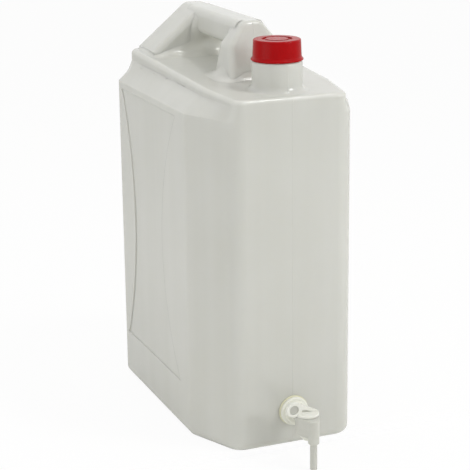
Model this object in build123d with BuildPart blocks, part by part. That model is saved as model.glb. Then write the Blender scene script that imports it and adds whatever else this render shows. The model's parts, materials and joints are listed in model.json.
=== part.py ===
from build123d import *
import os
from math import atan2, cos, degrees, radians, tan

# A twenty-litre carboy with a spigot: a blow-moulded container with a handle through its top,
# a screw cap with its liner, and a quarter-turn tap clamped through the front wall.
# Millimetres. Z is up, the tap side faces -Y, the origin is on the standing face under the
# middle of the front wall.

# Container, seen from above
wall = 2.2
front_half = 69.0
side_half = 99.0
taper_depth = 68.0
body_depth = 304.0
front_radius = 22.0
taper_radius = 16.0
rear_radius = 12.0

# Container, from the floor up
base_fillet = 9.0
base_rim = 16.0
base_hollow = 2.0
shoulder_height = 378.0
crease_front_rise = 16.0
crease_rear_rise = 25.0
deck_front_rise = 22.0
deck_rear_rise = 38.0
deck_edge = 5.0
deck_front_half = 66.0
deck_middle_half = 76.0
deck_rear_half = 83.0
deck_front_radius = 13.0
deck_rear_radius = 13.0
deck_rear_inset = 3.0

# Waisted panel sunk into each straight flank
panel_depth = 1.2
panel_top_margin = 8.0
panel_bottom = 58.0
panel_front_margin = 30.0
panel_rear_margin = 20.0
panel_front_waist = 52.0
panel_rear_waist = 38.0

# Handle hump and the finger hole under the grip
ridge_rise = 52.0
ridge_half = 11.0
ridge_radius = 12.0
hump_foot_half = 71.0
hump_foot_rise = 2.0
hump_length = 61.0
hump_edge = 7.0
grip_half = 18.0
grip_height = 31.0
grip_radius = 9.0
leg_foot_half = 37.0
leg_shoulder_half = 31.0
leg_shoulder_drop = 26.0
leg_front_foot = 84.0
leg_front_lean = 24.0
leg_rear_lean = 14.0
leg_length = 58.0

# Neck
neck_y = 41.0
neck_radius = 27.8
neck_rise = 34.0
neck_edge = 2.0
neck_foot_radius = 7.0
finish_radius = 23.4
finish_height = 19.0
finish_wall = 2.6
finish_edge = 0.8

# Screw cap and liner
cap_height = 23.0
cap_top_radius = 26.0
cap_skirt_radius = 26.8
cap_flare_radius = 28.7
cap_flare_height = 4.2
cap_flare_land = 1.4
cap_edge = 1.6
cap_flare_edge = 0.6
cap_seat_gap = 0.3
cap_thread_room = 1.9
cap_disc_radius = 12.4
cap_groove_radius = 16.7
cap_groove_depth = 1.2
liner_thickness = 1.5
liner_clearance = 0.2

# Tap, along the flow from the wall outwards
tap_height = 42.0
stem_radius = 13.0
stem_end = 2.0
stem_clearance = 0.3
flow_radius = 4.2
outer_seal_radius = 17.3
outer_seal_thickness = 2.5
outer_seal_edge = 0.8
flange_radius = 16.4
flange_thickness = 3.6
flange_edge = 1.2
collar_radius = 13.2
collar_length = 5.0
collar_edge = 1.5
tube_radius = 7.9
barrel_y = 37.5
barrel_radius = 13.4
barrel_rise = 8.0
barrel_drop = 16.0
barrel_floor = 2.5
barrel_fillet = 8.0
nozzle_y = 54.6
nozzle_radius = 6.2
nozzle_drop = 4.5
nozzle_chamfer = 1.9
outlet_radius = 4.0
outlet_edge = 0.5
outlet_drop = 50.0
outlet_bore = 2.6

# Tap key
plug_radius = 8.8
plug_clearance = 0.06
plug_end_gap = 0.3
plug_flow_radius = 4.2
plug_tail_radius = 4.5
plug_tail_length = 5.0
key_gap = 0.3
key_head_radius = 13.2
key_head_thickness = 3.0
key_head_edge = 1.0
wing_thickness = 4.6
wing_ring_radius = 8.4
wing_recess_radius = 5.4
wing_recess_web = 1.4
wing_ring_reach = 16.6
wing_ring_lift = 5.6
wing_tip_radius = 1.3
wing_window_height = 3.6
wing_window_length = 11.0
clip_radius = 7.2
clip_thickness = 1.6
clip_groove = 0.8
plug_seal_width = 2.0
plug_seal_depth = 1.6
plug_seal_margin = 2.2
plug_seal_edge = 0.4

# Tap fixing inside the container
inner_seal_radius = 19.0
inner_seal_thickness = 2.0
nut_across_flats = 36.0
nut_thickness = 8.0
nut_clearance = 0.15
nut_edge = 1.0

# How far a working solid runs past what it cuts or joins
overrun = 20.0

# How near two heights or places count as the same
nearness = 0.01

deck_rear = body_depth - deck_rear_inset
deck_front_height = shoulder_height + deck_front_rise
deck_rear_height = shoulder_height + deck_rear_rise
deck_tilt = degrees(atan2(deck_rear_rise - deck_front_rise, body_depth))
deck_plane = Plane.XY.offset(deck_front_height).rotated((deck_tilt, 0, 0))
crease_tilt = degrees(atan2(crease_rear_rise - crease_front_rise, body_depth))
crease_height = shoulder_height + crease_front_rise
shoulder_lean = atan2(side_half - deck_middle_half, crease_front_rise)
ridge_height = deck_rear_height + ridge_rise
hump_front = deck_rear - hump_length
leg_shoulder_height = ridge_height - leg_shoulder_drop
leg_rear_foot = leg_front_foot + leg_length
leg_front_top = leg_front_foot + leg_front_lean
leg_rear_top = leg_rear_foot - leg_rear_lean
neck_height = deck_front_height + neck_rise
finish_top = neck_height + finish_height
panel_top = shoulder_height - panel_top_margin
bore_radius = finish_radius - finish_wall


def plan_outline(front, middle, rear, y_corner, y_rear, r_front, r_corner, r_rear):
    """A six-sided plan with rounded corners: half widths at the front, the taper's end and the rear."""
    with BuildSketch() as plan:
        with BuildLine():
            Polyline(
                (-front, 0),
                (front, 0),
                (middle, y_corner),
                (rear, y_rear),
                (-rear, y_rear),
                (-middle, y_corner),
                close=True,
            )
        make_face()
        rows = plan.vertices().group_by(Axis.Y)
        fillet(rows[0], radius=r_front)
        corners = plan.vertices().filter_by(lambda v: abs(v.Y - y_corner) < nearness)
        fillet(corners, radius=r_corner)
        rears = plan.vertices().filter_by(lambda v: abs(v.Y - y_rear) < nearness)
        fillet(rears, radius=r_rear)
    return plan.sketch


body_plan = plan_outline(
    front_half, side_half, side_half, taper_depth, body_depth, front_radius, taper_radius, rear_radius
)
deck_plan = plan_outline(
    deck_front_half,
    deck_middle_half,
    deck_rear_half,
    taper_depth,
    deck_rear,
    deck_front_radius,
    taper_radius,
    deck_rear_radius,
)


def panel_outline():
    """The waisted panel of a flank, along Y and up Z."""
    middle = (panel_top + panel_bottom) / 2
    front = taper_depth + panel_front_margin
    rear = body_depth - panel_rear_margin
    with BuildSketch() as panel:
        with BuildLine():
            ThreePointArc((front, panel_bottom), (front + panel_front_waist, middle), (front, panel_top))
            Line((front, panel_top), (rear, panel_top))
            ThreePointArc((rear, panel_top), (rear - panel_rear_waist, middle), (rear, panel_bottom))
            Line((rear, panel_bottom), (front, panel_bottom))
        make_face()
    return panel.sketch


def vessel_form(inset):
    """The container's bulk without its handle, with every face moved inwards by inset."""
    outer = offset(body_plan, amount=-inset) if inset else body_plan
    upper = offset(deck_plan, amount=-inset) if inset else deck_plan
    hollow = offset(body_plan, amount=-base_rim + inset)
    slope_drop = inset * tan(shoulder_lean / 2)
    crease = Plane.XY.offset(crease_height - slope_drop).rotated((crease_tilt, 0, 0))
    upper_on_crease = scale(upper, by=(1, 1 / cos(radians(crease_tilt)), 1))
    deck = deck_plane.offset(-inset)
    with BuildPart() as plinth:
        with BuildSketch(Plane.XY.offset(shoulder_height)):
            add(upper)
        extrude(amount=deck_rear_rise + overrun)
        split(bisect_by=deck, keep=Keep.BOTTOM)
        fillet(plinth.faces().sort_by(Axis.Z)[-1].edges(), radius=deck_edge - inset)
        split(bisect_by=crease, keep=Keep.TOP)
    with BuildPart() as form:
        with BuildSketch(Plane.XY.offset(inset)):
            add(outer)
        extrude(amount=shoulder_height - slope_drop - inset)
        fillet(form.edges().group_by(Axis.Z)[0], radius=base_fillet - inset)
        with BuildSketch(Plane.XY.offset(shoulder_height - slope_drop)):
            add(outer)
        with BuildSketch(crease):
            add(upper_on_crease)
        loft(ruled=True)
        add(plinth.part)
        with BuildSketch(Plane.XY.offset(inset)):
            add(hollow)
        extrude(amount=base_hollow, mode=Mode.SUBTRACT)
        panel = panel_outline()
        if inset:
            panel = offset(panel, amount=inset, mode=Mode.PRIVATE)
        for face_x, inwards in ((side_half - inset, -panel_depth), (-side_half + inset, panel_depth)):
            with BuildSketch(Plane.YZ.offset(face_x)):
                add(panel)
            extrude(amount=inwards, mode=Mode.SUBTRACT)
    return form.part


def hump_form(inset):
    """The handle hump on the deck: rear gable, grip bar and front leg, moved inwards by inset."""
    gable_foot = shoulder_height + crease_rear_rise
    hump_shoulder = deck_rear_height + hump_foot_rise
    with BuildSketch() as gable:
        with BuildLine():
            Polyline(
                (-hump_foot_half, gable_foot),
                (hump_foot_half, gable_foot),
                (hump_foot_half, hump_shoulder),
                (ridge_half, ridge_height),
                (-ridge_half, ridge_height),
                (-hump_foot_half, hump_shoulder),
                close=True,
            )
        make_face()
        fillet(gable.vertices().sort_by(Axis.Y)[-2:], radius=ridge_radius)
    with BuildSketch() as arch:
        with BuildLine():
            Polyline(
                (-leg_foot_half, crease_height),
                (leg_foot_half, crease_height),
                (leg_shoulder_half, leg_shoulder_height),
                (ridge_half, ridge_height),
                (-ridge_half, ridge_height),
                (-leg_shoulder_half, leg_shoulder_height),
                close=True,
            )
        make_face()
        fillet(arch.vertices().sort_by(Axis.Y)[-4:], radius=ridge_radius)
    with BuildSketch() as side:
        with BuildLine():
            Polyline(
                (leg_front_foot, crease_height),
                (leg_front_top, ridge_height),
                (leg_rear_top, ridge_height),
                (leg_rear_foot, crease_height),
                close=True,
            )
        make_face()
    with BuildSketch() as bar:
        with Locations((0, ridge_height - grip_height / 2)):
            RectangleRounded(2 * grip_half, grip_height, grip_radius)
    shapes = [gable.sketch, arch.sketch, side.sketch, bar.sketch]
    if inset:
        shapes = [offset(shape, amount=-inset) for shape in shapes]
    gable_face, arch_face, side_face, bar_face = shapes
    rear = deck_rear - inset
    front = hump_front + inset
    with BuildPart() as leg:
        with BuildSketch(Plane.XZ.offset(-leg_front_foot + overrun)):
            add(arch_face)
        extrude(amount=-(leg_rear_foot - leg_front_foot + 2 * overrun))
        with BuildSketch(Plane.YZ.offset(-side_half)):
            add(side_face)
        extrude(amount=2 * side_half, mode=Mode.INTERSECT)
        above_deck = leg.edges().filter_by(lambda e: e.center().Z > deck_rear_height)
        fillet(above_deck, radius=hump_edge - inset)
    with BuildPart() as hump:
        with BuildSketch(Plane.XZ.offset(-front)):
            add(gable_face)
        extrude(amount=front - rear)
        rims = hump.edges().filter_by(lambda e: e.bounding_box().size.Y < nearness)
        fillet(rims, radius=hump_edge - inset)
        with BuildSketch(Plane.XZ.offset(-leg_front_top - grip_radius)):
            add(bar_face)
        extrude(amount=leg_front_top + grip_radius - (hump_front + rear) / 2)
        add(leg.part)
    return hump.part


# Cavity of the container: the same forms a wall further in, and the bore of the neck
vessel_inside = vessel_form(wall)
hump_inside = hump_form(wall)
with BuildPart() as cavity:
    add(vessel_inside)
    add(hump_inside)
    with BuildSketch(Plane.XY.offset(crease_height)):
        with Locations((0, neck_y)):
            Circle(neck_radius - wall)
    extrude(amount=neck_height - wall - crease_height)
    neck_foot = cavity.edges(Select.LAST).filter_by(GeomType.LINE, reverse=True).sort_by(Axis.Z)[0]
    fillet(neck_foot, radius=neck_foot_radius + wall)
    with BuildSketch(Plane.XY.offset(crease_height)):
        with Locations((0, neck_y)):
            Circle(bore_radius)
    extrude(amount=finish_top - crease_height)

# Container: shell, handle, neck and the hole for the tap
vessel_outside = vessel_form(0.0)
hump_outside = hump_form(0.0)
with BuildPart() as container_body:
    add(vessel_outside)
    add(hump_outside)
    with BuildSketch(Plane.XY.offset(crease_height)):
        with Locations((0, neck_y)):
            Circle(neck_radius)
    extrude(amount=neck_height - crease_height)
    neck_rims = container_body.edges(Select.LAST).filter_by(GeomType.LINE, reverse=True)
    fillet(neck_rims.sort_by(Axis.Z)[-1], radius=neck_edge)
    fillet(neck_rims.sort_by(Axis.Z)[0], radius=neck_foot_radius)
    with BuildSketch(Plane.XY.offset(neck_height)):
        with Locations((0, neck_y)):
            Circle(finish_radius)
    extrude(amount=finish_height)
    finish_rim = container_body.edges(Select.LAST).filter_by(GeomType.CIRCLE).sort_by(Axis.Z)[-1]
    fillet(finish_rim, radius=finish_edge)
    add(cavity.part, mode=Mode.SUBTRACT)
    with BuildSketch(Plane.XZ):
        with Locations((0, tap_height)):
            Circle(stem_radius + stem_clearance)
    extrude(amount=-2 * wall, mode=Mode.SUBTRACT)
container_body.part.label = "container_body"

# Screw cap with its stepped top, and the liner that seals on the neck
cap_base = neck_height + cap_seat_gap
cap_top = cap_base + cap_height
cap_ceiling = finish_top + liner_thickness
cap_bore = finish_radius + cap_thread_room
with BuildPart() as screw_cap:
    with BuildSketch(Plane.XZ):
        with BuildLine():
            Polyline(
                (0, cap_ceiling),
                (cap_bore, cap_ceiling),
                (cap_bore, cap_base),
                (cap_flare_radius, cap_base),
                (cap_flare_radius, cap_base + cap_flare_land),
                (cap_skirt_radius, cap_base + cap_flare_height),
                (cap_top_radius, cap_top),
                (cap_groove_radius, cap_top),
                (cap_groove_radius, cap_top - cap_groove_depth),
                (cap_disc_radius, cap_top - cap_groove_depth),
                (cap_disc_radius, cap_top),
                (0, cap_top),
                close=True,
            )
        make_face()
    revolve(axis=Axis.Z)
    rings = screw_cap.edges().filter_by(GeomType.CIRCLE).group_by(SortBy.RADIUS)
    chamfer(rings[-1].sort_by(Axis.Z)[0], length=cap_flare_edge)
    top_rings = screw_cap.edges().filter_by(GeomType.CIRCLE).group_by(Axis.Z)[-1]
    fillet(top_rings.sort_by(SortBy.RADIUS)[-1], radius=cap_edge)
screw_cap.part.locate(Location((0, neck_y, 0)))
screw_cap.part.label = "screw_cap"

with BuildPart() as cap_liner:
    with BuildSketch(Plane.XY.offset(finish_top)):
        with Locations((0, neck_y)):
            Circle(cap_bore - liner_clearance)
    extrude(amount=liner_thickness)
cap_liner.part.label = "cap_liner"

# Seals and nut that clamp the tap through the front wall
with BuildPart() as wall_seal:
    with BuildSketch(Plane.XZ):
        with Locations((0, tap_height)):
            Circle(outer_seal_radius)
            Circle(stem_radius + stem_clearance, mode=Mode.SUBTRACT)
    extrude(amount=outer_seal_thickness)
    outer_rings = wall_seal.edges().filter_by(GeomType.CIRCLE).group_by(Axis.Y)[0]
    chamfer(outer_rings.sort_by(SortBy.RADIUS)[-1], length=outer_seal_edge)
wall_seal.part.label = "wall_seal"

with BuildPart() as inner_seal:
    with BuildSketch(Plane.XZ.offset(-wall)):
        with Locations((0, tap_height)):
            Circle(inner_seal_radius)
            Circle(stem_radius + stem_clearance, mode=Mode.SUBTRACT)
    extrude(amount=-inner_seal_thickness)
inner_seal.part.label = "inner_seal"

nut_near = wall + inner_seal_thickness
nut_far = nut_near + nut_thickness
with BuildPart() as back_nut:
    with BuildSketch(Plane.XZ.offset(-nut_near)):
        with Locations((0, tap_height)):
            RegularPolygon(radius=nut_across_flats / 2, side_count=6, major_radius=False)
    extrude(amount=-nut_thickness)
    chamfer(back_nut.faces().sort_by(Axis.Y)[-1].edges(), length=nut_edge)
    with BuildSketch(Plane.XZ.offset(-nut_near)):
        with Locations((0, tap_height)):
            Circle(stem_radius + nut_clearance)
    extrude(amount=-nut_thickness, mode=Mode.SUBTRACT)
back_nut.part.label = "back_nut"

# Tap body: stem, flange, tube, plug housing and the nozzle that hangs from it
barrel_top = tap_height + barrel_rise
barrel_bottom = tap_height - barrel_drop
outlet_end = tap_height - outlet_drop
flange_near = outer_seal_thickness
flange_far = flange_near + flange_thickness
stem_tip = nut_far + stem_end
nozzle_shoulder = barrel_bottom - nozzle_drop
plug_bore = plug_radius + plug_clearance
tail_bore = plug_tail_radius + plug_clearance
with BuildPart() as tap_body:
    with BuildSketch(Plane.XZ.offset(-stem_tip)):
        with Locations((0, tap_height)):
            Circle(stem_radius)
    extrude(amount=stem_tip + flange_near)
    with BuildSketch(Plane.XZ.offset(flange_near)):
        with Locations((0, tap_height)):
            Circle(flange_radius)
    extrude(amount=flange_thickness)
    fillet(tap_body.faces().sort_by(Axis.Y)[0].edges(), radius=flange_edge)
    with BuildSketch(Plane.XZ.offset(flange_far)):
        with Locations((0, tap_height)):
            Circle(collar_radius)
    extrude(amount=collar_length)
    fillet(tap_body.faces().sort_by(Axis.Y)[0].edges(), radius=collar_edge)
    with BuildSketch(Plane.XZ.offset(flange_far)):
        with Locations((0, tap_height)):
            Circle(tube_radius)
    extrude(amount=barrel_y - flange_far)
    with BuildSketch(Plane.XY.offset(barrel_bottom)):
        with Locations((0, -barrel_y)):
            Circle(barrel_radius)
        with Locations((0, -nozzle_y)):
            Circle(nozzle_radius)
        make_hull()
    extrude(amount=barrel_top - barrel_bottom)
    fillet(tap_body.faces().sort_by(Axis.Z)[0].edges(), radius=barrel_fillet)
    with BuildSketch(Plane.XY.offset(nozzle_shoulder)):
        with Locations((0, -nozzle_y)):
            Circle(nozzle_radius)
    extrude(amount=barrel_top - nozzle_shoulder)
    chamfer(tap_body.faces().sort_by(Axis.Z)[0].edges(), length=nozzle_chamfer)
    with BuildSketch(Plane.XY.offset(nozzle_shoulder)):
        with Locations((0, -nozzle_y)):
            Circle(outlet_radius)
    extrude(amount=outlet_end - nozzle_shoulder)
    fillet(tap_body.faces().sort_by(Axis.Z)[0].edges(), radius=outlet_edge)
    with BuildSketch(Plane.XZ.offset(-stem_tip)):
        with Locations((0, tap_height)):
            Circle(flow_radius)
    extrude(amount=stem_tip + nozzle_y, mode=Mode.SUBTRACT)
    with BuildSketch(Plane.XY.offset(outlet_end)):
        with Locations((0, -nozzle_y)):
            Circle(outlet_bore)
    extrude(amount=tap_height - outlet_end, mode=Mode.SUBTRACT)
    with BuildSketch(Plane.XY.offset(barrel_bottom + barrel_floor)):
        with Locations((0, -barrel_y)):
            Circle(plug_bore)
    extrude(amount=barrel_top - barrel_bottom - barrel_floor, mode=Mode.SUBTRACT)
    with BuildSketch(Plane.XY.offset(barrel_bottom)):
        with Locations((0, -barrel_y)):
            Circle(tail_bore)
    extrude(amount=barrel_floor, mode=Mode.SUBTRACT)
tap_body.part.label = "tap_body"

# Tap key: plug with a cross hole, round head and a wing with a finger ring
head_base = barrel_top + key_gap
head_top = head_base + key_head_thickness
plug_end = barrel_bottom + barrel_floor + plug_end_gap
tail_end = barrel_bottom - plug_tail_length
clip_top = barrel_bottom - key_gap
upper_groove = barrel_top - plug_seal_margin - plug_seal_width
lower_groove = plug_end + plug_seal_margin
ring_height = head_top + wing_ring_lift
tip_reach = key_head_radius - wing_tip_radius
with BuildPart() as tap_key:
    with BuildSketch(Plane.XY.offset(plug_end)):
        with Locations((0, -barrel_y)):
            Circle(plug_radius)
    extrude(amount=head_top - plug_end)
    with BuildSketch(Plane.XY.offset(tail_end)):
        with Locations((0, -barrel_y)):
            Circle(plug_tail_radius)
    extrude(amount=plug_end - tail_end)
    with BuildSketch(Plane.XY.offset(head_base)):
        with Locations((0, -barrel_y)):
            Circle(key_head_radius)
    extrude(amount=key_head_thickness)
    fillet(tap_key.faces().sort_by(Axis.Z)[-1].edges(), radius=key_head_edge)
    with BuildSketch(Plane.XZ.offset(barrel_y - wing_thickness / 2)):
        with Locations((-wing_ring_reach, ring_height)):
            Circle(wing_ring_radius)
        with Locations((tip_reach, head_top - wing_tip_radius / 2)):
            Circle(wing_tip_radius)
        make_hull()
    extrude(amount=wing_thickness)
    window_foot = head_top + wing_tip_radius
    window_start = wing_ring_radius - wing_ring_reach + wing_tip_radius
    with BuildSketch(Plane.XZ.offset(barrel_y - wing_thickness)):
        with BuildLine():
            Polyline(
                (window_start, window_foot),
                (window_start + wing_window_length, window_foot),
                (window_start, window_foot + wing_window_height),
                close=True,
            )
        make_face()
    extrude(amount=2 * wing_thickness, mode=Mode.SUBTRACT)
    recess_depth = (wing_thickness - wing_recess_web) / 2
    for face_y, depth in (
        (barrel_y - wing_thickness / 2, recess_depth),
        (barrel_y + wing_thickness / 2, -recess_depth),
    ):
        with BuildSketch(Plane.XZ.offset(face_y)):
            with Locations((-wing_ring_reach, ring_height)):
                Circle(wing_recess_radius)
        extrude(amount=depth, mode=Mode.SUBTRACT)
    with BuildSketch(Plane.YZ.offset(-plug_bore)):
        with Locations((-barrel_y, tap_height)):
            Circle(plug_flow_radius)
    extrude(amount=2 * plug_bore, mode=Mode.SUBTRACT)
    for groove_base in (upper_groove, lower_groove):
        with BuildSketch(Plane.XY.offset(groove_base)):
            with Locations((0, -barrel_y)):
                Circle(plug_bore)
                Circle(plug_radius - plug_seal_depth, mode=Mode.SUBTRACT)
        extrude(amount=plug_seal_width, mode=Mode.SUBTRACT)
    with BuildSketch(Plane.XY.offset(clip_top - clip_thickness)):
        with Locations((0, -barrel_y)):
            Circle(tail_bore)
            Circle(plug_tail_radius - clip_groove, mode=Mode.SUBTRACT)
    extrude(amount=clip_thickness, mode=Mode.SUBTRACT)
tap_key.part.label = "tap_key"


def plug_seal(name, base):
    """A sealing ring in one groove of the plug."""
    with BuildPart() as seal:
        with BuildSketch(Plane.XY.offset(base)):
            with Locations((0, -barrel_y)):
                Circle(plug_radius)
                Circle(plug_radius - plug_seal_depth, mode=Mode.SUBTRACT)
        extrude(amount=plug_seal_width)
        rings = seal.edges().filter_by(GeomType.CIRCLE).group_by(SortBy.RADIUS)
        chamfer(rings[-1], length=plug_seal_edge)
    seal.part.label = name
    return seal.part


upper_plug_seal = plug_seal("upper_plug_seal", upper_groove)
lower_plug_seal = plug_seal("lower_plug_seal", lower_groove)

with BuildPart() as key_clip:
    with BuildSketch(Plane.XY.offset(clip_top - clip_thickness)):
        with Locations((0, -barrel_y)):
            Circle(clip_radius)
            Circle(plug_tail_radius - clip_groove, mode=Mode.SUBTRACT)
    extrude(amount=clip_thickness)
key_clip.part.label = "key_clip"

os.makedirs("parts", exist_ok=True)
for piece in (
    container_body.part,
    screw_cap.part,
    cap_liner.part,
    wall_seal.part,
    inner_seal.part,
    back_nut.part,
    tap_body.part,
    tap_key.part,
    upper_plug_seal,
    lower_plug_seal,
    key_clip.part,
):
    export_step(piece, f"parts/{piece.label}.step")
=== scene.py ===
import json
import math

import bpy
from mathutils import Matrix, Vector

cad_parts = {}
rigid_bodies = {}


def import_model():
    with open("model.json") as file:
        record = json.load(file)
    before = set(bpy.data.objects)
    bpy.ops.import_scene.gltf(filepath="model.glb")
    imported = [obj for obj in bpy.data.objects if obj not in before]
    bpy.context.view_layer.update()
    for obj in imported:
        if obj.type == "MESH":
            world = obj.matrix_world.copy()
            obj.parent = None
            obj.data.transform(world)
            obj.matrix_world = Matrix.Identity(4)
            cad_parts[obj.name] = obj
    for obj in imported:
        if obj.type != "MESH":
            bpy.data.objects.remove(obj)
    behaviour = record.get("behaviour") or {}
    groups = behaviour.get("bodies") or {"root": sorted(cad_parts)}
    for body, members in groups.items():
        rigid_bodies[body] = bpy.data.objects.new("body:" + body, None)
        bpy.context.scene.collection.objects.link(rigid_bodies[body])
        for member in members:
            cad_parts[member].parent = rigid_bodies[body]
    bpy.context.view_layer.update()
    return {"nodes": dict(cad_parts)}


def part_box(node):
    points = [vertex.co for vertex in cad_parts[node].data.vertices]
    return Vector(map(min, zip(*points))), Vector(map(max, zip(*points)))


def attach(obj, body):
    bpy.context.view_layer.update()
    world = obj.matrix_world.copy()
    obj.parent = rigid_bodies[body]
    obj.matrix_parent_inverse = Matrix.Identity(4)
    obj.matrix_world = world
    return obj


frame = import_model()

MM = 0.001

# Camera: it stands before the container's left front corner and looks a little down.
CAMERA_PLACE = (-666.5 * MM, -1468.4 * MM, 712.3 * MM)
CAMERA_YAW = math.radians(21.786)
CAMERA_PITCH = math.radians(15.84)
CAMERA_ROLL = math.radians(-0.787)
CAMERA_LENS = 117.55
CAMERA_SHIFT = (0.0209, -0.0130)
CAMERA_SENSOR = 36.0

# Neck and cap, whose threads are added here
NECK_Y = 41.0 * MM
FINISH_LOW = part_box("screw_cap")[0][2]
FINISH_RADIUS = 23.4 * MM
CAP_BORE_RADIUS = 25.3 * MM
THREAD_PITCH = 6.0 * MM
THREAD_TURNS = 2
THREAD_START = 2.4 * MM
THREAD_WIDTH = 2.6 * MM
THREAD_CREST_SHARE = 0.45
THREAD_DEPTH = 1.5 * MM
THREAD_ROOT_SINK = 0.2 * MM
THREAD_STEP = math.radians(7.5)
THREAD_RUN_OUT = 0.96
CAP_RIBS = 80

# Web in the key's finger ring, with the two steps of its dish
WEB_PLACE = (-16.6 * MM, -37.5 * MM, 58.9 * MM)
WEB_RADIUS = 5.35 * MM
WEB_THICKNESS = 2.0 * MM
DISH_STEPS = (1.2 * MM, 1.4 * MM)
DISH_DROP = 0.12 * MM

# Blended skin of the handle: where it starts, and how far its filling fades out
DECK_FRONT = 400.0 * MM
DECK_SLOPE = 16.0 / 304.0
DECK_BLEND_FRONT = 78.0 * MM
DECK_BLEND_LOW = 397.0 * MM
BLEND_WELD = 0.01 * MM
BLEND_TRIM = 0.5 * MM
BLEND_VOXEL = 1.8 * MM
BLEND_ROUNDS = 110
BLEND_SINK = 0.16 * MM
FULL_FILL = 0.4 * MM
DECK_FADE = 2.0 * MM
NECK_FADE = 6.0 * MM

# Roundness that the shaders give to the modelled edges
BODY_EDGE = 2.6 * MM
FINE_EDGE = 0.5 * MM
EDGE_SAMPLES = 6

# The flange gives way to the thin housing between these two places on Y, where its painted light
# fades out.
FLANGE_FADE = (-17.0 * MM, -11.0 * MM)

# Soft lamps: name, place, size in metres and power in watts. All turn to the middle of the container.
LAMP_TARGET = (0.0, 0.10, 0.22)
LAMPS = (
    ("key_lamp", (1.15, -1.25, 0.85), 0.45, 8.5),
    ("edge_lamp", (0.62, -0.50, 1.90), 0.22, 7.0),
    ("top_lamp", (-0.1, 0.5, 1.9), 1.2, 4.0),
    ("left_fill", (-1.7, -0.3, 0.7), 1.4, 6.0),
)
WORLD_LIGHT = 0.68
WORLD_SHOWN = 1.0

# The floor lies 1 mm under the spout's end. The slab carries the container, and its edge lies just
# behind the front wall.
FLOOR_SIZE = 12.0
FLOOR_DROP = 9.0 * MM
FLOOR_GLOW = 0.93
SLAB_DEPTH = 6.0
SLAB_FRONT = 9.0 * MM


def linear(code):
    """An sRGB hex colour as the linear RGBA that the shaders take."""
    values = [int(code[i:i + 2], 16) / 255 for i in (1, 3, 5)]
    straight = [v / 12.92 if v <= 0.04045 else ((v + 0.055) / 1.055) ** 2.4 for v in values]
    return (*straight, 1.0)


def add_node(tree, kind, settings=None, inputs=None):
    """A new node with its settings, and with a value or another node's socket on each input."""
    made = tree.nodes.new(kind)
    for name, value in (settings or {}).items():
        setattr(made, name, value)
    for name, value in (inputs or {}).items():
        if isinstance(value, bpy.types.NodeSocket):
            tree.links.new(value, made.inputs[name])
        else:
            made.inputs[name].default_value = value
    return made


def new_material(name, roughness, ior):
    """A material with one Principled shader, and its tree, shader and Object coordinates."""
    material = bpy.data.materials.new(name)
    material.use_nodes = True
    tree = material.node_tree
    shader = tree.nodes["Principled BSDF"]
    shader.inputs["Roughness"].default_value = roughness
    shader.inputs["IOR"].default_value = ior
    place = add_node(tree, "ShaderNodeTexCoord").outputs["Object"]
    return material, tree, shader, place


def per_mm(size_mm):
    """The texture scale at which one pattern cell measures size_mm."""
    return 1000.0 / size_mm


def natural_polyethylene():
    """Blow-moulded natural HDPE: milky and waxy, with round edges, die lines and the mould's seam."""
    material, tree, shader, place = new_material("natural_polyethylene", 0.21, 1.51)
    upright = add_node(tree, "ShaderNodeMapping", inputs={"Vector": place, "Scale": (1.0, 1.0, 0.04)})
    die_lines = add_node(tree, "ShaderNodeTexNoise", inputs={
        "Vector": upright.outputs["Vector"], "Scale": per_mm(26.0), "Detail": 2.0,
    }).outputs["Fac"]
    clouds = add_node(tree, "ShaderNodeTexNoise", inputs={
        "Vector": place, "Scale": per_mm(90.0), "Detail": 2.0,
    }).outputs["Fac"]
    mottle = add_node(tree, "ShaderNodeMath", {"operation": "ADD"}, {0: die_lines, 1: clouds})
    tone = add_node(tree, "ShaderNodeMapRange", inputs={
        "Value": mottle.outputs[0], "From Min": 0.7, "From Max": 1.3,
    })
    colour = add_node(tree, "ShaderNodeMix", {"data_type": "RGBA"}, {
        "Factor": tone.outputs[0], 6: linear("#C9C9C1"), 7: linear("#CDCDC6"),
    })
    tree.links.new(colour.outputs[2], shader.inputs["Base Color"])
    # The two mould halves meet in the middle plane, where they leave a fine raised seam.
    across = add_node(tree, "ShaderNodeSeparateXYZ", inputs={"Vector": place}).outputs["X"]
    from_middle = add_node(tree, "ShaderNodeMath", {"operation": "ABSOLUTE"}, {0: across})
    seam = add_node(tree, "ShaderNodeMapRange", {"interpolation_type": "SMOOTHSTEP"}, {
        "Value": from_middle.outputs[0], "From Min": 0.2 * MM, "From Max": 0.9 * MM,
        "To Min": 1.0, "To Max": 0.0,
    })
    round_edges = add_node(tree, "ShaderNodeBevel", {"samples": EDGE_SAMPLES}, {"Radius": BODY_EDGE})
    seam_bump = add_node(tree, "ShaderNodeBump", inputs={
        "Height": seam.outputs[0], "Normal": round_edges.outputs["Normal"],
        "Strength": 0.5, "Distance": 0.3 * MM,
    })
    swell = add_node(tree, "ShaderNodeBump", inputs={
        "Height": mottle.outputs[0], "Normal": seam_bump.outputs["Normal"],
        "Strength": 0.12, "Distance": 1.5 * MM,
    })
    # The blown skin copies the blasted mould. Its real peel is finer, and is drawn at 2.4 mm to show.
    orange_peel = add_node(tree, "ShaderNodeTexNoise", inputs={
        "Vector": place, "Scale": per_mm(2.4), "Detail": 2.0,
    })
    skin = add_node(tree, "ShaderNodeBump", inputs={
        "Height": orange_peel.outputs["Fac"], "Normal": swell.outputs["Normal"],
        "Strength": 0.10, "Distance": 0.2 * MM,
    })
    tree.links.new(skin.outputs["Normal"], shader.inputs["Normal"])
    shader.inputs["Subsurface Weight"].default_value = 0.6
    shader.inputs["Subsurface Radius"].default_value = (1.0, 0.97, 0.88)
    shader.inputs["Subsurface Scale"].default_value = 7.0 * MM
    return material


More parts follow.
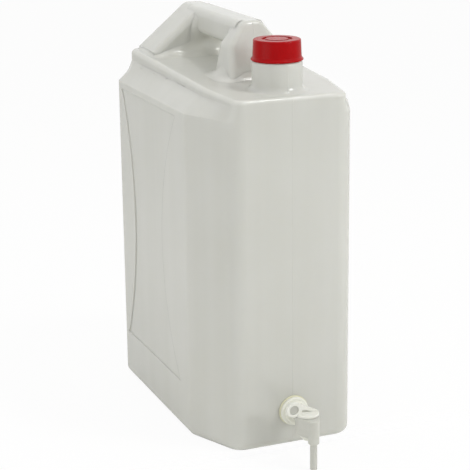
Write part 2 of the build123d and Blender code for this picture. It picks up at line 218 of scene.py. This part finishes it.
def moulded_polypropylene(name, pale, dark, roughness, depth_mm):
    """Injection-moulded polypropylene: smooth and waxy, clouded by its flow, with a fine grain."""
    material, tree, shader, place = new_material(name, roughness, 1.49)
    flow = add_node(tree, "ShaderNodeTexNoise", inputs={
        "Vector": place, "Scale": per_mm(7.0), "Detail": 2.0,
    })
    colour = add_node(tree, "ShaderNodeMix", {"data_type": "RGBA"}, {
        "Factor": flow.outputs["Fac"], 6: linear(dark), 7: linear(pale),
    })
    # Painted light: the flange by the wall is painted whiter than the thin housing of the same
    # plastic, standing in for the light that the thick flange scatters back and the thin wall lets
    # through.
    outwards = add_node(tree, "ShaderNodeSeparateXYZ", inputs={"Vector": place}).outputs["Y"]
    thickness = add_node(tree, "ShaderNodeMapRange", {"interpolation_type": "SMOOTHSTEP"}, {
        "Value": outwards, "From Min": FLANGE_FADE[0], "From Max": FLANGE_FADE[1],
    })
    flange_painted_lighter = add_node(tree, "ShaderNodeMix", {"data_type": "RGBA"}, {
        "Factor": thickness.outputs[0], 6: colour.outputs[2], 7: linear("#E4E4DA"),
    })
    tree.links.new(flange_painted_lighter.outputs[2], shader.inputs["Base Color"])
    # The mould's spark-worn grain is about 0.1 mm wide, and is drawn at 0.9 mm to show.
    grain = add_node(tree, "ShaderNodeTexNoise", inputs={
        "Vector": place, "Scale": per_mm(0.9), "Detail": 3.0,
    })
    round_edges = add_node(tree, "ShaderNodeBevel", {"samples": EDGE_SAMPLES}, {"Radius": FINE_EDGE})
    skin = add_node(tree, "ShaderNodeBump", inputs={
        "Height": grain.outputs["Fac"], "Normal": round_edges.outputs["Normal"],
        "Strength": 0.12, "Distance": 0.1 * MM,
    })
    tree.links.new(skin.outputs["Normal"], shader.inputs["Normal"])
    worn = add_node(tree, "ShaderNodeMapRange", inputs={
        "Value": grain.outputs["Fac"], "To Min": roughness - 0.05, "To Max": roughness + 0.06,
    })
    tree.links.new(worn.outputs[0], shader.inputs["Roughness"])
    shader.inputs["Subsurface Weight"].default_value = 0.5
    shader.inputs["Subsurface Radius"].default_value = (1.0, 0.98, 0.92)
    shader.inputs["Subsurface Scale"].default_value = depth_mm * MM
    return material


def red_polypropylene():
    """Glossy red polypropylene of the cap: a deep colour, with a faintly ribbed skirt."""
    material, tree, shader, place = new_material("red_polypropylene", 0.24, 1.49)
    clouds = add_node(tree, "ShaderNodeTexNoise", inputs={
        "Vector": place, "Scale": per_mm(9.0), "Detail": 3.0,
    })
    colour = add_node(tree, "ShaderNodeMix", {"data_type": "RGBA"}, {
        "Factor": clouds.outputs["Fac"], 6: linear("#980105"), 7: linear("#A60307"),
    })
    tree.links.new(colour.outputs[2], shader.inputs["Base Color"])
    centred = add_node(tree, "ShaderNodeMapping", inputs={
        "Vector": place, "Location": (0.0, -NECK_Y, 0.0),
    })
    angle = add_node(tree, "ShaderNodeTexGradient", {"gradient_type": "RADIAL"}, {
        "Vector": centred.outputs["Vector"],
    })
    # The ribs round the skirt stand a little over 2 mm apart.
    ribs = add_node(tree, "ShaderNodeMath", {"operation": "MULTIPLY"}, {
        0: angle.outputs["Fac"], 1: CAP_RIBS * 2 * math.pi,
    })
    wave = add_node(tree, "ShaderNodeMath", {"operation": "SINE"}, {0: ribs.outputs[0]})
    round_edges = add_node(tree, "ShaderNodeBevel", {"samples": EDGE_SAMPLES}, {"Radius": FINE_EDGE})
    ribbed = add_node(tree, "ShaderNodeBump", inputs={
        "Height": wave.outputs[0], "Normal": round_edges.outputs["Normal"],
        "Strength": 0.12, "Distance": 0.1 * MM,
    })
    skin = add_node(tree, "ShaderNodeBump", inputs={
        "Height": clouds.outputs["Fac"], "Normal": ribbed.outputs["Normal"],
        "Strength": 0.10, "Distance": 0.2 * MM,
    })
    tree.links.new(skin.outputs["Normal"], shader.inputs["Normal"])
    shader.inputs["Specular IOR Level"].default_value = 0.12
    return material


def cream_rubber():
    """Moulded cream rubber of the seals: dull and a little yellow, with a fine bloom."""
    material, tree, shader, place = new_material("cream_rubber", 0.6, 1.52)
    bloom = add_node(tree, "ShaderNodeTexNoise", inputs={
        "Vector": place, "Scale": per_mm(1.6), "Detail": 4.0,
    })
    colour = add_node(tree, "ShaderNodeMix", {"data_type": "RGBA"}, {
        "Factor": bloom.outputs["Fac"], 6: linear("#D0CEAE"), 7: linear("#DEDCC2"),
    })
    tree.links.new(colour.outputs[2], shader.inputs["Base Color"])
    skin = add_node(tree, "ShaderNodeBump", inputs={
        "Height": bloom.outputs["Fac"], "Strength": 0.2, "Distance": 0.12 * MM,
    })
    tree.links.new(skin.outputs["Normal"], shader.inputs["Normal"])
    return material


def foamed_polyethylene():
    """Foamed polyethylene of the cap's liner: matt white with closed cells."""
    material, tree, shader, place = new_material("foamed_polyethylene", 0.7, 1.45)
    cells = add_node(tree, "ShaderNodeTexVoronoi", inputs={"Vector": place, "Scale": per_mm(0.5)})
    colour = add_node(tree, "ShaderNodeMix", {"data_type": "RGBA"}, {
        "Factor": cells.outputs["Distance"], 6: linear("#E2E2DC"), 7: linear("#ECECE6"),
    })
    tree.links.new(colour.outputs[2], shader.inputs["Base Color"])
    skin = add_node(tree, "ShaderNodeBump", inputs={
        "Height": cells.outputs["Distance"], "Strength": 0.25, "Distance": 0.1 * MM,
    })
    tree.links.new(skin.outputs["Normal"], shader.inputs["Normal"])
    return material


def select_vertices(piece, wanted):
    """Opens a piece in edit mode with only the vertices selected whose place is wanted."""
    bpy.ops.object.mode_set(mode="EDIT")
    bpy.ops.mesh.select_mode(type="VERT")
    bpy.ops.mesh.select_all(action="DESELECT")
    bpy.ops.object.mode_set(mode="OBJECT")
    for vertex in piece.data.vertices:
        vertex.select = wanted(vertex.co)
    bpy.ops.object.mode_set(mode="EDIT")


def thread_ridge(name, root, crest, low, start):
    """A thread's ridge round the neck: its flanks slope from the root to the narrower crest."""
    depth = crest - root
    # The neck's ridge stands outwards and the cap's inwards.
    sense = 1 if depth > 0 else -1
    middle = (root + depth / 2) * sense
    bpy.ops.object.select_all(action="DESELECT")
    bpy.ops.mesh.primitive_plane_add(size=1.0, rotation=(math.pi / 2, 0.0, 0.0))
    ridge = bpy.context.object
    ridge.name = name
    ridge.scale = (abs(depth), THREAD_WIDTH, 1.0)
    ridge.location = (root + depth / 2, 0.0, 0.0)
    bpy.ops.object.transform_apply(location=True, rotation=True, scale=True)
    select_vertices(ridge, lambda place: abs(place.x - crest) < abs(depth) / 4)
    bpy.ops.transform.resize(
        value=(1.0, 1.0, THREAD_CREST_SHARE), center_override=(crest, 0.0, 0.0)
    )
    bpy.ops.object.mode_set(mode="OBJECT")
    winding = ridge.modifiers.new("winding", "SCREW")
    winding.axis = "Z"
    winding.angle = 2 * math.pi
    winding.screw_offset = THREAD_PITCH
    winding.iterations = THREAD_TURNS
    winding.steps = winding.render_steps = round(2 * math.pi / THREAD_STEP)
    bpy.ops.object.modifier_apply(modifier="winding")
    # Each end runs out into the wall that carries it.
    for end in (0.0, THREAD_PITCH * THREAD_TURNS):
        select_vertices(
            ridge,
            lambda place: math.hypot(place.x, place.y) * sense > middle
            and abs(place.z - end) < THREAD_WIDTH / 2
            and abs(place.y) < 0.1 * MM
            and place.x > 0,
        )
        bpy.ops.transform.translate(value=(-THREAD_RUN_OUT * depth, 0.0, 0.0))
    bpy.ops.mesh.select_all(action="SELECT")
    bpy.ops.mesh.fill_holes(sides=6)
    bpy.ops.mesh.normals_make_consistent(inside=False)
    bpy.ops.object.mode_set(mode="OBJECT")
    ridge.rotation_euler = (0.0, 0.0, start)
    ridge.location = (0.0, NECK_Y, low)
    bpy.ops.object.transform_apply(location=True, rotation=True, scale=True)
    bpy.ops.object.shade_smooth_by_angle(angle=math.radians(35))
    return ridge


def ring_web():
    """The thin web in the key's finger ring, dished on both sides."""
    bpy.ops.object.select_all(action="DESELECT")
    bpy.ops.mesh.primitive_cylinder_add(
        vertices=64, radius=WEB_RADIUS, depth=WEB_THICKNESS, end_fill_type="NGON",
        location=WEB_PLACE, rotation=(math.pi / 2, 0.0, 0.0),
    )
    web = bpy.context.object
    web.name = "ring_web"
    bpy.ops.object.transform_apply(location=True, rotation=True, scale=True)
    for side in (-1.0, 1.0):
        bpy.ops.object.mode_set(mode="EDIT")
        bpy.ops.mesh.select_mode(type="FACE")
        bpy.ops.mesh.select_all(action="DESELECT")
        bpy.ops.object.mode_set(mode="OBJECT")
        for face in web.data.polygons:
            face.select = face.normal.y * side > 0.9
        bpy.ops.object.mode_set(mode="EDIT")
        for step in DISH_STEPS:
            bpy.ops.mesh.inset(thickness=step)
            bpy.ops.transform.translate(value=(0.0, -side * DISH_DROP, 0.0))
        bpy.ops.object.mode_set(mode="OBJECT")
    bpy.ops.object.shade_smooth_by_angle(angle=math.radians(30))
    return web


def cut(place, normal, fill):
    """Cuts the piece that is open in edit mode by a plane, and drops what lies behind it."""
    bpy.ops.mesh.select_all(action="SELECT")
    bpy.ops.mesh.bisect(plane_co=place, plane_no=normal, use_fill=fill, clear_inner=True)


def clamp(value):
    """The value, or the nearer end of the range from 0 to 1."""
    return min(max(value, 0.0), 1.0)


def blended_handle():
    """The blow-moulded skin in the handle's hollow corners, where the plastic bridges the mould."""
    bpy.ops.object.select_all(action="DESELECT")
    blend = bpy.data.objects.new("handle_blend", frame["nodes"]["container_body"].data.copy())
    bpy.context.scene.collection.objects.link(blend)
    bpy.context.view_layer.objects.active = blend
    blend.select_set(True)
    bpy.ops.object.mode_set(mode="EDIT")
    bpy.ops.mesh.select_mode(type="VERT")
    bpy.ops.mesh.select_all(action="SELECT")
    bpy.ops.mesh.remove_doubles(threshold=BLEND_WELD)
    # Behind the neck the outer and the inner skin are two separate shells.
    cut((0.0, DECK_BLEND_FRONT, 0.0), (0.0, 1.0, 0.0), False)
    bpy.ops.object.mode_set(mode="OBJECT")
    top = max(blend.data.vertices, key=lambda vertex: vertex.co.z).index
    bpy.ops.object.mode_set(mode="EDIT")
    bpy.ops.mesh.select_all(action="DESELECT")
    bpy.ops.object.mode_set(mode="OBJECT")
    blend.data.vertices[top].select = True
    bpy.ops.object.mode_set(mode="EDIT")
    bpy.ops.mesh.select_linked()
    bpy.ops.mesh.select_all(action="INVERT")
    bpy.ops.mesh.delete(type="VERT")
    cut((0.0, DECK_BLEND_FRONT + BLEND_TRIM, 0.0), (0.0, 1.0, 0.0), True)
    cut((0.0, 0.0, DECK_BLEND_LOW), (0.0, 0.0, 1.0), True)
    bpy.ops.object.mode_set(mode="OBJECT")
    blend.data.remesh_voxel_size = BLEND_VOXEL
    bpy.ops.object.voxel_remesh()
    sharp = [vertex.co.copy() for vertex in blend.data.vertices]
    outwards = [vertex.normal.copy() for vertex in blend.data.vertices]
    bpy.ops.object.mode_set(mode="EDIT")
    bpy.ops.mesh.select_all(action="SELECT")
    bpy.ops.mesh.vertices_smooth(factor=0.5, repeat=BLEND_ROUNDS)
    bpy.ops.object.mode_set(mode="OBJECT")
    # Only hollow corners fill up. Elsewhere the skin sinks under the container's own surface.
    for vertex, before, normal in zip(blend.data.vertices, sharp, outwards):
        filled = (vertex.co - before).dot(normal)
        above_deck = before.z - (DECK_FRONT + before.y * DECK_SLOPE)
        behind_neck = before.y - DECK_BLEND_FRONT
        share = clamp(above_deck / DECK_FADE + 1.0) * clamp(behind_neck / NECK_FADE)
        share *= clamp(filled / FULL_FILL)
        vertex.co = before.lerp(vertex.co, share) - normal * BLEND_SINK
    bpy.ops.object.shade_smooth()
    return blend


def dress(node, material):
    """Gives a node of the frame its finish."""
    for slot in frame["nodes"][node].material_slots:
        slot.material = material


def set_camera():
    """The photograph's camera, from its yaw, pitch and roll."""
    forward = Vector((
        math.sin(CAMERA_YAW) * math.cos(CAMERA_PITCH),
        math.cos(CAMERA_YAW) * math.cos(CAMERA_PITCH),
        -math.sin(CAMERA_PITCH),
    ))
    level = Vector((math.cos(CAMERA_YAW), -math.sin(CAMERA_YAW), 0.0))
    upright = level.cross(forward)
    right = math.cos(CAMERA_ROLL) * level + math.sin(CAMERA_ROLL) * upright
    up = -math.sin(CAMERA_ROLL) * level + math.cos(CAMERA_ROLL) * upright
    data = bpy.data.cameras.new("camera")
    data.lens = CAMERA_LENS
    data.sensor_width = CAMERA_SENSOR
    data.shift_x, data.shift_y = CAMERA_SHIFT
    data.clip_start, data.clip_end = 0.05, 50.0
    camera = bpy.data.objects.new("camera", data)
    bpy.context.scene.collection.objects.link(camera)
    turn = Matrix((right, up, -forward)).transposed().to_4x4()
    camera.matrix_world = Matrix.Translation(CAMERA_PLACE) @ turn
    bpy.context.scene.camera = camera


def area_lamp(name, place, size, power):
    """A square soft lamp at a place, turned to the container's middle."""
    data = bpy.data.lights.new(name, "AREA")
    data.shape = "SQUARE"
    data.size = size
    data.energy = power
    lamp = bpy.data.objects.new(name, data)
    bpy.context.scene.collection.objects.link(lamp)
    aim = Vector(LAMP_TARGET) - Vector(place)
    lamp.location = place
    lamp.rotation_euler = aim.to_track_quat("-Z", "Y").to_euler()


def light_studio():
    """Soft lamps, and a world that lights plainly but is white to the camera and in reflections."""
    for lamp in LAMPS:
        area_lamp(*lamp)
    world = bpy.data.worlds.new("studio")
    bpy.context.scene.world = world
    world.use_nodes = True
    tree = world.node_tree
    tree.nodes.clear()
    path = add_node(tree, "ShaderNodeLightPath")
    seen = add_node(tree, "ShaderNodeMath", {"operation": "MAXIMUM"}, {
        0: path.outputs["Is Camera Ray"], 1: path.outputs["Is Transmission Ray"],
    })
    shown = add_node(tree, "ShaderNodeMath", {"operation": "MAXIMUM"}, {
        0: seen.outputs[0], 1: path.outputs["Is Glossy Ray"],
    })
    strength = add_node(tree, "ShaderNodeMapRange", inputs={
        "Value": shown.outputs[0], "To Min": WORLD_LIGHT, "To Max": WORLD_SHOWN,
    })
    white = add_node(tree, "ShaderNodeBackground", inputs={
        "Color": linear("#FFFFFF"), "Strength": strength.outputs[0],
    })
    add_node(tree, "ShaderNodeOutputWorld", inputs={"Surface": white.outputs[0]})


def pale_floor():
    """A plain pale floor, and a low slab at whose edge the container stands, as on a bench."""
    material, tree, shader, _ = new_material("pale_floor", 0.9, 1.45)
    shader.inputs["Base Color"].default_value = linear("#F4F4F2")
    shader.inputs["Specular IOR Level"].default_value = 0.0
    path = add_node(tree, "ShaderNodeLightPath")
    glow = add_node(tree, "ShaderNodeEmission", inputs={"Color": linear("#FFFFFF"), "Strength": 1.0})
    share = add_node(tree, "ShaderNodeMath", {"operation": "MULTIPLY"}, {
        0: path.outputs["Is Camera Ray"], 1: FLOOR_GLOW,
    })
    blend = add_node(tree, "ShaderNodeMixShader", inputs={
        0: share.outputs[0], 1: shader.outputs[0], 2: glow.outputs[0],
    })
    tree.links.new(blend.outputs[0], tree.nodes["Material Output"].inputs["Surface"])
    bpy.ops.object.select_all(action="DESELECT")
    bpy.ops.mesh.primitive_plane_add(size=FLOOR_SIZE, location=(0.0, 0.0, -FLOOR_DROP))
    floor = bpy.context.object
    floor.name = "floor"
    bpy.ops.mesh.primitive_cube_add(
        size=1.0, location=(0.0, SLAB_DEPTH / 2 + SLAB_FRONT, -FLOOR_DROP / 2)
    )
    slab = bpy.context.object
    slab.name = "bench_slab"
    slab.scale = (FLOOR_SIZE, SLAB_DEPTH, FLOOR_DROP)
    bpy.ops.object.transform_apply(location=True, scale=True)
    for piece in (floor, slab):
        piece.data.materials.append(material)


set_camera()
light_studio()
pale_floor()

polyethylene = natural_polyethylene()
# Each moulded part lets light in as deep as its wall allows, here in millimetres.
natural_pp = moulded_polypropylene("natural_polypropylene", "#CACAC2", "#BEBEB6", 0.30, 4.0)
white_pp = moulded_polypropylene("white_polypropylene", "#E6E6DE", "#DEDED6", 0.32, 1.5)
# The ring's web is the key's white plastic painted darker grey: painted shade at the bottom of the
# ring's dish, and the grey of light passing through the thin web.
shaded_web_pp = moulded_polypropylene("web_polypropylene_painted_shade", "#C2C2BA", "#B8B8B0", 0.34, 1.5)
red_pp = red_polypropylene()
rubber = cream_rubber()
foam = foamed_polyethylene()
FINISHES = {
    "container_body": polyethylene,
    "tap_body": natural_pp,
    "tap_key": white_pp,
    "back_nut": white_pp,
    "key_clip": white_pp,
    "screw_cap": red_pp,
    "cap_liner": foam,
    "wall_seal": rubber,
    "inner_seal": rubber,
    "upper_plug_seal": rubber,
    "lower_plug_seal": rubber,
}
for node, finish in FINISHES.items():
    dress(node, finish)

# Neck and cap carry mating threads: the cap's ridge runs half a pitch above the neck's.
thread_low = FINISH_LOW + THREAD_START
neck_thread = thread_ridge(
    "neck_thread",
    FINISH_RADIUS - THREAD_ROOT_SINK, FINISH_RADIUS + THREAD_DEPTH, thread_low, 0.0,
)
cap_thread = thread_ridge(
    "cap_thread",
    CAP_BORE_RADIUS + THREAD_ROOT_SINK, CAP_BORE_RADIUS - THREAD_DEPTH, thread_low, math.pi,
)
handle_blend = blended_handle()
handle_blend.data.materials.clear()
for piece, body, finish, slot in (
    (handle_blend, "container", polyethylene, "natural_polyethylene"),
    (neck_thread, "container", polyethylene, "natural_polyethylene"),
    (ring_web(), "key", shaded_web_pp, "natural_polypropylene"),
    (cap_thread, "cap", red_pp, "red_polypropylene"),
):
    piece.data.materials.append(finish)
    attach(piece, body)

bpy.context.scene.view_settings.view_transform = "Standard"
